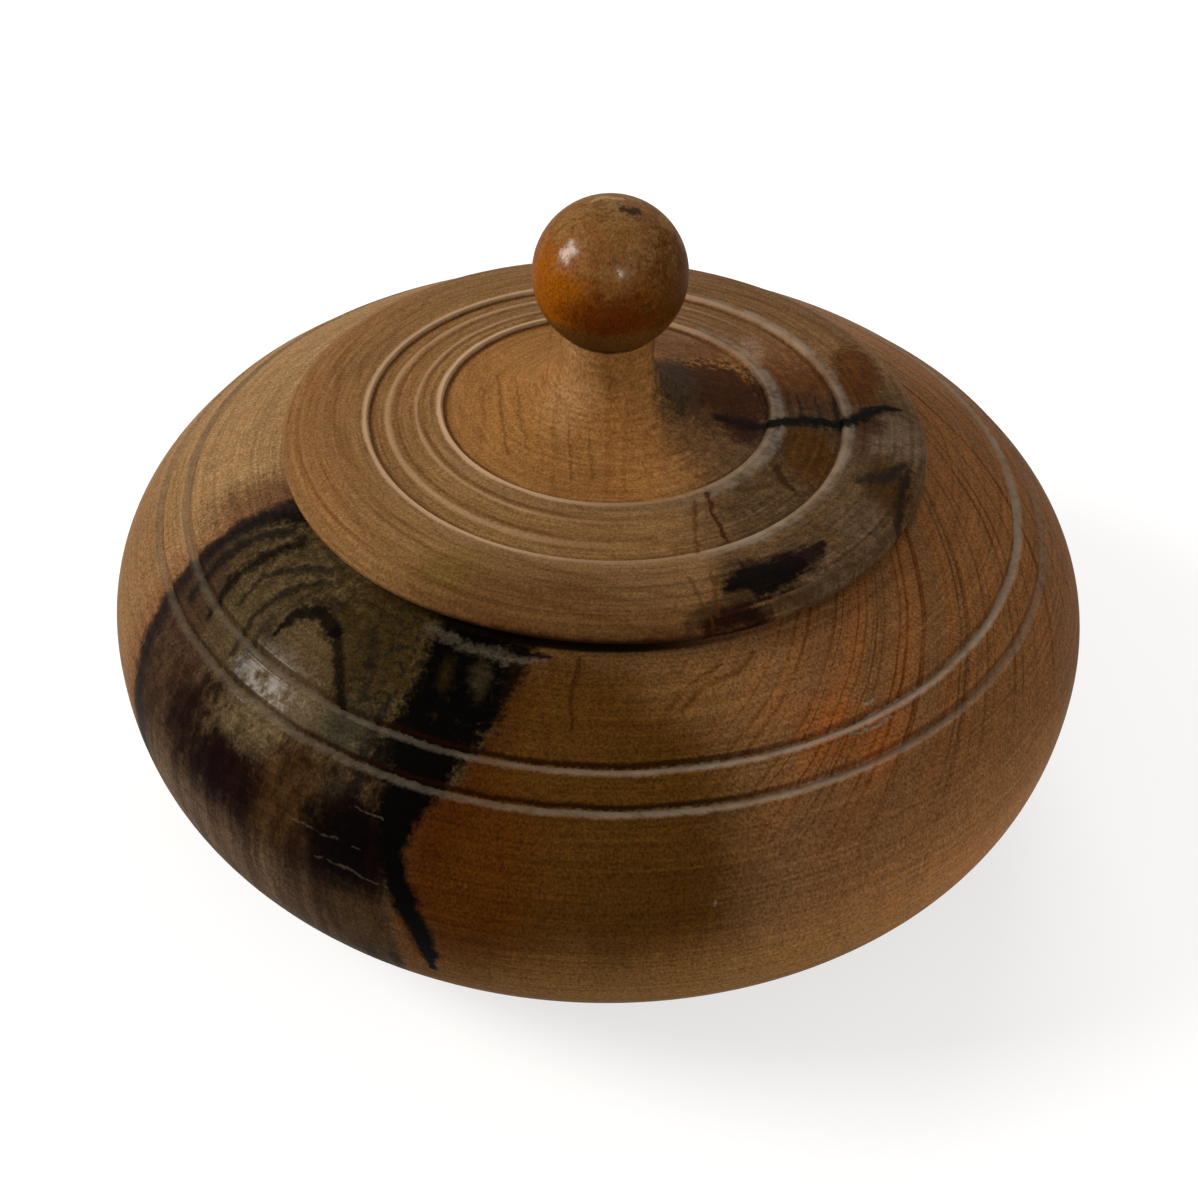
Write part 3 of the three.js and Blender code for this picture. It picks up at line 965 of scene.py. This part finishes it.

# Broad differences, with painted light on the neck's lit left side, in plan: colour, strength, softness,
# centre, half size
LID_GROUND = [
    (LID_RIM, 1.0, 0.35, (-36.0, 10.0), (14.0, 40.0)),
    (LID_SHADE, 0.9, 0.55, (-6.0, -40.0), (27.0, 8.5)),
    ((0.130, 0.070, 0.027), 0.7, 0.6, (7.0, -33.0), (6.0, 5.0)),
    (LID_BACK, 1.0, 0.4, (24.0, 27.0), (18.0, 16.0)),
    # painted light on the neck's lit left side
    ((0.270, 0.140, 0.052), 0.8, 0.6, (-4.6, -4.6), (3.0, 4.0)),
    (LID_GREY, 0.92, 0.28, (31.0, -15.0), (20.5, 26.0)),
    ((0.090, 0.055, 0.011), 0.6, 0.7, (-16.6, -31.2), (4.0, 2.6)),
    ((0.105, 0.046, 0.015), 0.8, 0.6, (13.0, -38.0), (9.0, 3.0)),
]

# Spalted places at the right, in plan
LID_STAINS = [
    ((0.095, 0.040, 0.0150), 0.9, 0.4, (10.0, 14.0), (6.5, 4.6)),
    ((0.140, 0.074, 0.040), 0.5, 0.6, (11.5, 16.6), (5.5, 1.8)),
    (ORANGE_BROWN, 0.95, 0.4, (24.4, 8.0), (4.8, 6.0)),
    ((0.050, 0.0200, 0.0070), 0.7, 0.6, (24.0, 3.0), (5.0, 2.2)),
    ((0.130, 0.055, 0.020), 0.7, 0.6, (22.5, 14.0), (4.0, 4.0)),
    ((0.200, 0.120, 0.078), 0.6, 0.6, (18.6, 14.4), (1.5, 3.2)),
    ((0.070, 0.0230, 0.0030), 1.0, 0.3, (31.8, 9.8), (3.2, 7.4)),
    (GOLD_BROWN, 0.95, 0.35, (24.6, -7.6), (3.4, 5.6)),
    ((0.034, 0.0090, 0.0008), 0.97, 0.2, (13.2, 2.2), (7.2, 7.8)),
    ((0.070, 0.036, 0.015), 0.7, 0.5, (11.0, -6.5), (4.5, 5.0)),
    ((0.034, 0.0205, 0.0100), 0.9, 0.5, (8.2, 1.6), (2.8, 7.0)),
    ((0.026, 0.0060, 0.0012), 0.9, 0.5, (17.0, -4.0), (2.4, 3.2)),
    ((0.026, 0.024, 0.020), 0.8, 0.6, (20.2, -6.4), (1.1, 2.6)),
    ((0.118, 0.078, 0.046), 0.8, 0.6, (35.4, -2.8), (3.6, 4.2)),
    ((0.060, 0.025, 0.009), 0.7, 0.6, (31.5, -3.0), (1.2, 3.0)),
    ((0.032, 0.0110, 0.0015), 0.85, 0.6, (32.4, -0.6), (2.0, 2.2)),
    ((0.036, 0.0140, 0.0018), 0.85, 0.5, (33.8, -13.2), (3.0, 4.8)),
    ((0.080, 0.050, 0.028), 0.6, 0.6, (30.6, -20.6), (3.6, 4.6)),
    ((0.085, 0.050, 0.027), 0.7, 0.6, (24.0, -28.6), (5.6, 2.8)),
    ((0.050, 0.0240, 0.0100), 0.8, 0.7, (14.8, -30.4), (2.0, 3.6)),
]

# Dark lines on the lid, in plan: colour, strength, softness, points
LID_STREAKS = [
    (INK, 0.97, 0.5, (20.2, -3.2, 0.8), (23.4, -1.7, 1.0), (26.4, -1.0, 1.15), (29.6, -0.9, 1.15)),
    (RED_BLACK, 0.9, 0.7, (13.8, -2.8, 0.7), (17.6, -3.4, 1.3), (20.2, -3.4, 0.9)),
    (INK, 0.97, 0.5, (30.4, -0.6, 0.9), (32.4, 1.3, 1.2), (34.2, 2.8, 0.8), (36.6, 3.2, 0.35)),
    (BROWN_LINE, 0.45, 0.8, (-13.6, 5.0, 0.18), (-12.5, -4.4, 0.24), (-11.4, -11.4, 0.18)),
    (BROWN_LINE, 0.35, 0.8, (-11.3, 2.7, 0.15), (-10.4, -4.1, 0.20), (-9.2, -10.8, 0.16)),
    (BROWN_LINE, 0.40, 0.8, (-4.4, -8.8, 0.15), (-3.6, -15.9, 0.22)),
    (BROWN_LINE, 0.40, 0.8, (-1.8, -9.1, 0.15), (-1.3, -15.8, 0.22)),
    (RED_BLACK, 0.7, 0.8, (24.3, -0.5, 0.4), (24.0, 4.0, 0.2)),
    (RED_BLACK, 0.6, 0.8, (26.6, -0.5, 0.4), (26.2, 4.6, 0.15)),
    (RED_BLACK, 0.7, 0.8, (28.8, -1.0, 0.4), (28.4, 5.2, 0.2)),
    (SOOT, 0.8, 0.8, (30.6, -12.4, 0.8), (34.0, -11.0, 1.0), (36.2, -8.2, 0.5)),
    (SOOT, 0.8, 0.7, (36.8, -9.0, 0.4), (35.4, -13.4, 0.6), (34.6, -17.6, 0.55), (34.4, -20.4, 0.25)),
    (UMBER, 0.6, 0.8, (28.5, -26.4, 0.35), (23.0, -31.6, 0.35), (18.0, -35.0, 0.4)),
    (DARK_LINE, 0.9, 0.6, (12.0, -17.6, 0.35), (12.5, -19.6, 0.3), (13.1, -21.5, 0.3), (14.4, -24.6, 0.28)),
    (BROWN_LINE, 0.6, 0.7, (10.6, -19.0, 0.25), (10.9, -27.5, 0.25)),
    (BROWN_LINE, 0.6, 0.7, (9.8, -31.5, 0.25), (11.8, -36.4, 0.25), (13.0, -38.5, 0.3)),
    (BROWN_LINE, 0.6, 0.7, (12.4, -30.5, 0.3), (13.0, -36.6, 0.3)),
    (DARK_LINE, 0.9, 0.6, (20.2, -11.2, 0.5), (21.0, -13.2, 0.6), (22.2, -15.0, 0.4)),
]
BLACK_KNOT = [
    (INK, 0.97, 0.5, (15.0, -32.8, 1.5), (17.2, -31.2, 2.9), (19.8, -29.8, 2.3), (22.2, -28.0, 1.0)),
    (RED_BLACK, 0.92, 0.7, (20.2, -27.4, 0.6), (22.8, -27.2, 1.6), (25.2, -24.6, 0.7)),
    (RED_BLACK, 0.92, 0.6, (12.2, -37.2, 1.3), (15.6, -35.6, 1.5), (18.6, -35.7, 1.1)),
    (UMBER, 0.8, 0.7, (10.0, -37.8, 0.7), (13.2, -34.8, 0.8), (16.4, -33.4, 0.6)),
]


def rubbed_and_lit_edges(board, colour, place):
    """Cream lines on the arrises, rubbed wear with a painted highlight strongest on the lit left, over
    painted shade lines; grey rubbed bands at the right; and painted highlights over painted shade on two fine
    beads, at the left only.
    """
    x, y, _ = board.split(place)
    left = board.rise(board.sum("MULTIPLY_ADD", y, -0.3, x), 14.0, -6.0)
    right = board.rise(x, 4.0, 20.0)
    front = board.rise(y, 2.0, -16.0)
    grey = board.sum("MAXIMUM", board.sum("MULTIPLY", right, 0.66), board.sum("MULTIPLY", front, 0.12))
    broken = board.rise(board.noise(place, 3.2, 4.0, 0.65), 0.36, 0.62)
    grey = board.sum("MULTIPLY", grey, board.between(broken, 0.25, 1.0))
    outer_radius, outer_height = OUTER_ARRIS
    inner_radius, inner_height = INNER_ARRIS
    tints = (
        # colour, blend, radius, height above the seat, half width, share at the right, share at the left
        (PALE_GREY, "MIX", outer_radius + 0.5, outer_height, 0.9, grey, None),
        (PALE_GREY, "MIX", inner_radius + 0.9, inner_height - 0.1, 1.15, grey, None),
        # painted shade lines inside the steps below the arrises
        (SHADOW_LINE, "MULTIPLY", outer_radius - 0.5, outer_height - 0.4, 0.36, 0.45, 0.65),
        (SHADOW_LINE, "MULTIPLY", inner_radius - 0.5, inner_height - 0.4, 0.40, 0.35, 0.95),
        (CREAM_WEAR_AND_HIGHLIGHT, "MIX", outer_radius + 0.12, outer_height, 0.50, 0.22, 0.72),
        (CREAM_WEAR_AND_HIGHLIGHT, "MIX", inner_radius + 0.12, inner_height, 0.52, 0.22, 0.80),
        # painted highlights on the two fine beads, on the lit left only, and the painted shade inside them
        (CREAM_WEAR_AND_HIGHLIGHT, "MIX", 26.75, 4.5, 0.45, 0.0, 0.38),
        (CREAM_WEAR_AND_HIGHLIGHT, "MIX", 23.25, 5.05, 0.30, 0.0, 0.38),
        (SHADOW_LINE, "MULTIPLY", 25.7, 4.5, 0.40, 0.1, 0.6),
        (SHADOW_LINE, "MULTIPLY", 22.5, 5.1, 0.30, 0.1, 0.6),
    )
    for tint, blend, radius, above, width, at_right, at_left in tints:
        inputs = {"Place": place, "Radius": radius, "Width": width, "Raggedness": 0.38}
        inputs["Height"] = SEAT_HEIGHT + above
        line = board.use(WORN, inputs)["Share"]
        strength = at_right if at_left is None else board.between(left, at_right, at_left)
        colour = board.paint(board.sum("MULTIPLY", line, strength), colour, tint, blend)
    return colour


def lid_wood():
    wood, board, shader, place = new_wood("lid_wood")
    drift = board.use(WANDER, {"Place": place, "Size": 6.0, "Reach": 0.8})["Place"]
    plan = board.vector("MULTIPLY", drift, IN_PLAN)
    radius = board.vector("LENGTH", board.vector("MULTIPLY", place, IN_PLAN))
    outward = board.rise(radius, 19.6, 20.4)
    colour = board.paint(outward, LID_HONEY, LID_TAN)
    colour = board.stained(colour, plan, 0.0, LID_GROUND)

    across = board.split(drift)[0]
    round_about = board.vector("DISTANCE", plan, (10.0, 5.0, 0.0))
    distance = board.node("Mix", {0: outward, 2: across, 3: round_about}).outputs[0]
    rings = board.use(RINGS, {"Place": place, "Distance": distance, "Spacing": 2.0})
    colour = board.paint(board.sum("MULTIPLY", rings["Lines"], 0.45), colour, (0.62, 0.47, 0.32), "MULTIPLY")
    colour = board.paint(board.sum("MULTIPLY", rings["Bands"], 0.4), colour, (1.14, 1.05, 0.92), "MULTIPLY")

    fine_drift = board.use(WANDER, {"Place": place, "Size": 2.2, "Reach": 0.38})["Place"]
    flat = board.vector("MULTIPLY", fine_drift, IN_PLAN)
    edge = board.use(FRAY, {"Place": place, "Size": 0.8, "Amount": 0.7})["Fray"]
    broad_edge = board.sum("MULTIPLY", edge, 0.55)
    colour = board.stained(colour, flat, broad_edge, LID_STAINS)
    lathe = board.use(LATHE, {"Place": place, "Size": 0.45})
    combed = board.sum("MULTIPLY_ADD", board.sum("SUBTRACT", lathe["Marks"], 0.5), 1.1, broad_edge)
    colour = board.streaked(colour, flat, combed, BLACK_KNOT)

    fibres = board.use(FIBRES, {"Place": place})
    mottle = board.noise(place, 1.1, 4.0, 0.7)
    dark_side = board.stain(plan, 0.0, (28.0, -8.0), (22.0, 28.0), 0.3)
    speckle = board.ramp(mottle, [(0.32, (0.60, 0.56, 0.52)), (0.5, WHITE), (0.68, (1.45, 1.48, 1.52))])
    colour = board.paint(board.between(dark_side, 0.2, 0.9), colour, speckle, "MULTIPLY")
    colour = board.toned(colour, fibres["Flecks"], 0.30, 0.70, (0.66, 0.64, 0.60), (1.34, 1.36, 1.40))
    colour = board.toned(colour, lathe["Marks"], 0.28, 0.72, (0.78, 0.76, 0.72), (1.22, 1.23, 1.24))
    stops = [(0.30, (0.72, 0.66, 0.58)), (0.5, WHITE), (0.72, (1.14, 1.16, 1.18))]
    scores = board.ramp(lathe["Scores"], stops)
    colour = board.paint(board.sum("MULTIPLY", outward, 0.65), colour, scores, "MULTIPLY")
    colour = rubbed_and_lit_edges(board, colour, place)
    colour = board.streaked(colour, flat, edge, LID_STREAKS)
    # painted shade on the underside of the rim in front, where it stands off the bowl
    rim_underside_shade = board.rise(board.split(fine_drift)[2], SEAT_HEIGHT + 2.5, SEAT_HEIGHT + 1.5)
    front = board.stain(plan, 0.0, (-4.0, -39.5), (17.0, 6.0), 0.4)
    rim_underside_shade = board.sum("MULTIPLY", board.sum("MULTIPLY", rim_underside_shade, front), 0.85)
    colour = board.paint(rim_underside_shade, colour, (0.016, 0.0040, 0.0012))
    board.feed(shader.inputs["Base Color"], colour)

    board.feed(shader.inputs["Roughness"], board.between(fibres["Strands"], 0.45, 0.65))
    shader.inputs["Specular IOR Level"].default_value = 0.012
    rough = board.sum("ADD", board.sum("MULTIPLY", lathe["Marks"], 1.2), fibres["Flecks"])
    bump = board.node("Bump", {"Strength": 0.7, "Distance": 0.045 * MM, "Height": rough})
    board.feed(shader.inputs["Normal"], bump.outputs[0])
    return wood


# Knob wood

BRIGHT_ORANGE = (0.215, 0.058, 0.0006)
DEEP_RED = (0.072, 0.0125, 0.0004)
GREY_GRAIN = (0.195, 0.105, 0.036)
DARK_GRAIN = (0.048, 0.017, 0.0025)
# painted shade and painted reflection of the lid on the ball's underside
UNDERSIDE_SHADE_AND_REFLECTION = (0.090, 0.038, 0.0075)

# Places on the ball, from its centre: colour, strength, softness, centre, half size
KNOB_STAINS = [
    (BRIGHT_ORANGE, 0.95, 0.45, (-7.4, -5.6, 0.6), (4.6, 6.0, 6.4)),
    (DEEP_RED, 0.85, 0.5, (1.2, -9.0, -0.6), (6.8, 4.0, 2.4)),
    ((0.054, 0.0170, 0.0008), 0.9, 0.5, (8.4, -4.4, 1.0), (4.6, 6.0, 8.0)),
    ((0.095, 0.043, 0.009), 0.85, 0.5, (-0.6, -0.4, 9.2), (3.0, 2.3, 2.0)),
]
KNOB_MARKS = [
    ((0.28, 0.175, 0.080), 0.8, 0.5, (-2.6, 0.6, 8.8, 0.3), (-1.0, 1.6, 9.0, 0.4), (1.2, 1.2, 9.1, 0.3)),
    ((0.016, 0.006, 0.0025), 0.9, 0.6, (1.2, -1.4, 9.0, 0.5), (2.4, -1.7, 8.8, 0.8), (3.2, -0.2, 8.6, 0.5)),
]


def knob_wood():
    wood, board, shader, place = new_wood("knob_wood")
    from_centre = board.vector("SUBTRACT", place, (0.0, 0.0, KNOB_TOP - KNOB_RADIUS))
    drift = board.use(WANDER, {"Place": from_centre, "Size": 3.2, "Reach": 0.7})["Place"]
    edge = board.use(FRAY, {"Place": from_centre, "Size": 0.7, "Amount": 0.6})["Fray"]
    height = board.split(drift)[2]
    colour = board.ramp(board.rise(height, -9.0, 8.0), [
        (0.0, (0.070, 0.018, 0.0010)),
        (0.25, (0.100, 0.020, 0.0006)),
        (0.50, (0.120, 0.035, 0.0020)),
        (0.72, (0.126, 0.042, 0.0060)),
        (1.0, (0.150, 0.064, 0.0170)),
    ])
    colour = board.stained(colour, drift, edge, KNOB_STAINS)
    mottle = board.noise(board.vector("MULTIPLY", from_centre, (1.0, 1.0, 0.4)), 0.85, 4.0, 0.72)
    blotches = board.noise(from_centre, 2.6, 4.0, 0.65)
    upper = board.rise(board.sum("MULTIPLY_ADD", edge, 2.0, height), 1.0, 6.5)
    grey = board.sum("MULTIPLY", board.rise(blotches, 0.42, 0.60), board.between(upper, 0.04, 0.58))
    colour = board.paint(grey, colour, GREY_GRAIN)
    dark = board.sum("MULTIPLY", board.rise(mottle, 0.48, 0.34), board.between(upper, 0.28, 0.50))
    colour = board.paint(dark, colour, DARK_GRAIN)
    colour = board.streaked(colour, drift, edge, KNOB_MARKS)
    # painted shade with a painted reflection of the lid on the underside of the ball
    band = board.rise(board.sum("MULTIPLY_ADD", edge, 0.6, height), -2.2, -3.7)
    colour = board.paint(board.sum("MULTIPLY", band, 0.9), colour, UNDERSIDE_SHADE_AND_REFLECTION)
    # painted shade in the crease where the ball meets the neck
    crease_shade = board.rise(board.split(place)[2], NECK_TOP + 1.4, NECK_TOP)
    colour = board.paint(board.sum("MULTIPLY", crease_shade, 0.75), colour, (0.012, 0.006, 0.003))
    fibres = board.use(FIBRES, {"Place": place})
    colour = board.toned(colour, fibres["Flecks"], 0.30, 0.70, (0.68, 0.66, 0.62), (1.34, 1.36, 1.38))
    board.feed(shader.inputs["Base Color"], colour)

    board.feed(shader.inputs["Roughness"], board.between(mottle, 0.35, 0.62))
    shader.inputs["Specular IOR Level"].default_value = 0.015
    polished = board.sum(
        "MAXIMUM",
        board.stain(drift, edge, (-4.6, -5.7, 5.6), (2.2, 1.8, 1.9), 0.6),
        board.stain(drift, edge, (0.9, -7.5, 5.2), (1.3, 1.3, 1.2), 0.6),
    )
    polished = board.sum("MULTIPLY", polished, board.rise(mottle, 0.66, 0.40))
    board.feed(shader.inputs["Coat Weight"], polished)
    shader.inputs["Coat Roughness"].default_value = 0.17
    shader.inputs["Coat IOR"].default_value = 1.35
    bump = board.node("Bump", {"Strength": 0.7, "Distance": 0.07 * MM, "Height": mottle})
    board.feed(shader.inputs["Normal"], bump.outputs[0])
    return wood


# Camera and lamps

def set_up_camera():
    data = bpy.data.cameras.new("camera")
    camera = bpy.data.objects.new("camera", data)
    bpy.context.scene.collection.objects.link(camera)
    elevation = math.radians(VIEW_ELEVATION)
    back = Vector((0, -math.cos(elevation), math.sin(elevation)))
    camera.location = VIEW_TARGET + back * VIEW_DISTANCE
    look = (-back).to_track_quat("-Z", "Y").to_matrix()
    lean = Matrix.Rotation(math.radians(VIEW_LEAN), 3, "Z")
    camera.rotation_euler = (look @ lean).to_euler()
    data.sensor_width = SENSOR
    data.lens = VIEW_LENS
    data.clip_start = 0.01
    bpy.context.scene.camera = camera


def area_lamp(name, direction, distance, size, power, colour):
    data = bpy.data.lights.new(name, "AREA")
    data.shape = "RECTANGLE"
    data.size, data.size_y = size
    data.energy = power
    data.color = colour
    lamp = bpy.data.objects.new(name, data)
    bpy.context.scene.collection.objects.link(lamp)
    towards = Vector(direction).normalized()
    lamp.location = VIEW_TARGET + towards * distance
    lamp.rotation_euler = towards.to_track_quat("Z", "Y").to_euler()


# Room and floor

def light_the_room():
    area_lamp("window", (-0.85, -0.04, 0.54), 0.9, (0.40, 0.36), 8.0, (1.0, 0.95, 0.88))
    area_lamp("back_window", (0.1, 0.75, 0.65), 0.9, (0.5, 0.5), 3.2, (1.0, 0.97, 0.93))
    area_lamp("low_fill", (0.75, -0.55, 0.15), 0.9, (0.9, 0.9), 4.0, (1.0, 0.95, 0.92))
    area_lamp("front_lamp", (0.20, -0.82, 0.535), 0.9, (0.14, 0.14), 1.2, (1.0, 0.93, 0.92))
    world = bpy.data.worlds.new("room")
    bpy.context.scene.world = world
    world.use_nodes = True
    board = Board(world.node_tree)
    world.node_tree.nodes.clear()
    direction = board.node("TexCoord", {}).outputs["Generated"]
    backdrop = board.rise(board.split(direction)["Z"], 0.50, 0.34)
    soft = board.node("Background", {"Color": solid(WHITE), "Strength": 0.32}).outputs[0]
    glow = board.between(backdrop, 0.25, 1.0)
    white = board.node("Background", {"Color": solid(WHITE), "Strength": glow}).outputs[0]
    mix = board.node("MixShader", {0: seen_share(board), 1: soft, 2: white}).outputs[0]
    board.node("OutputWorld", {0: mix})


def seen_share(board):
    """1 for a ray that shows the background: straight from the camera, in a reflection or through glass."""
    path = board.node("LightPath", {}).outputs
    share = board.sum("MAXIMUM", path["Is Camera Ray"], path["Is Glossy Ray"])
    return board.sum("MAXIMUM", share, path["Is Transmission Ray"])


def pale_floor():
    bpy.ops.object.select_all(action="DESELECT")
    bpy.ops.mesh.primitive_plane_add(size=6, location=(0, 0, 0))
    floor = bpy.context.object
    floor.name = "floor"
    paint = bpy.data.materials.new("pale_floor")
    paint.use_nodes = True
    paint.node_tree.nodes.clear()
    board = Board(paint.node_tree)
    bounce = board.node("BsdfDiffuse", {"Color": solid((0.45, 0.45, 0.45))}).outputs[0]
    pale = board.node("BsdfDiffuse", {"Color": solid((0.42, 0.42, 0.42))}).outputs[0]
    glow = board.node("Emission", {"Strength": 0.64}).outputs[0]
    both = board.node("AddShader", {0: pale, 1: glow}).outputs[0]
    mix = board.node("MixShader", {0: seen_share(board), 1: bounce, 2: both}).outputs[0]
    board.node("OutputMaterial", {0: mix})
    floor.data.materials.append(paint)


bpy.context.scene.view_settings.view_transform = "Standard"
set_up_camera()
light_the_room()
pale_floor()

pieces = (
    ("turned_bowl", bowl_outline(), SEGMENTS, "bowl", "bowl", bowl_wood()),
    ("turned_lid", lid_outline(), SEGMENTS, "cover", "lid", lid_wood()),
    ("ball_knob", knob_outline(), KNOB_SEGMENTS, "cover", "knob", knob_wood()),
)
for name, outline, segments, body, node_name, wood in pieces:
    piece = turn_on_lathe(name, outline, segments)
    if node_name == "lid":
        lift_rim(piece)
    piece.data.materials.append(wood)
    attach(piece, body)
    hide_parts(node_name)
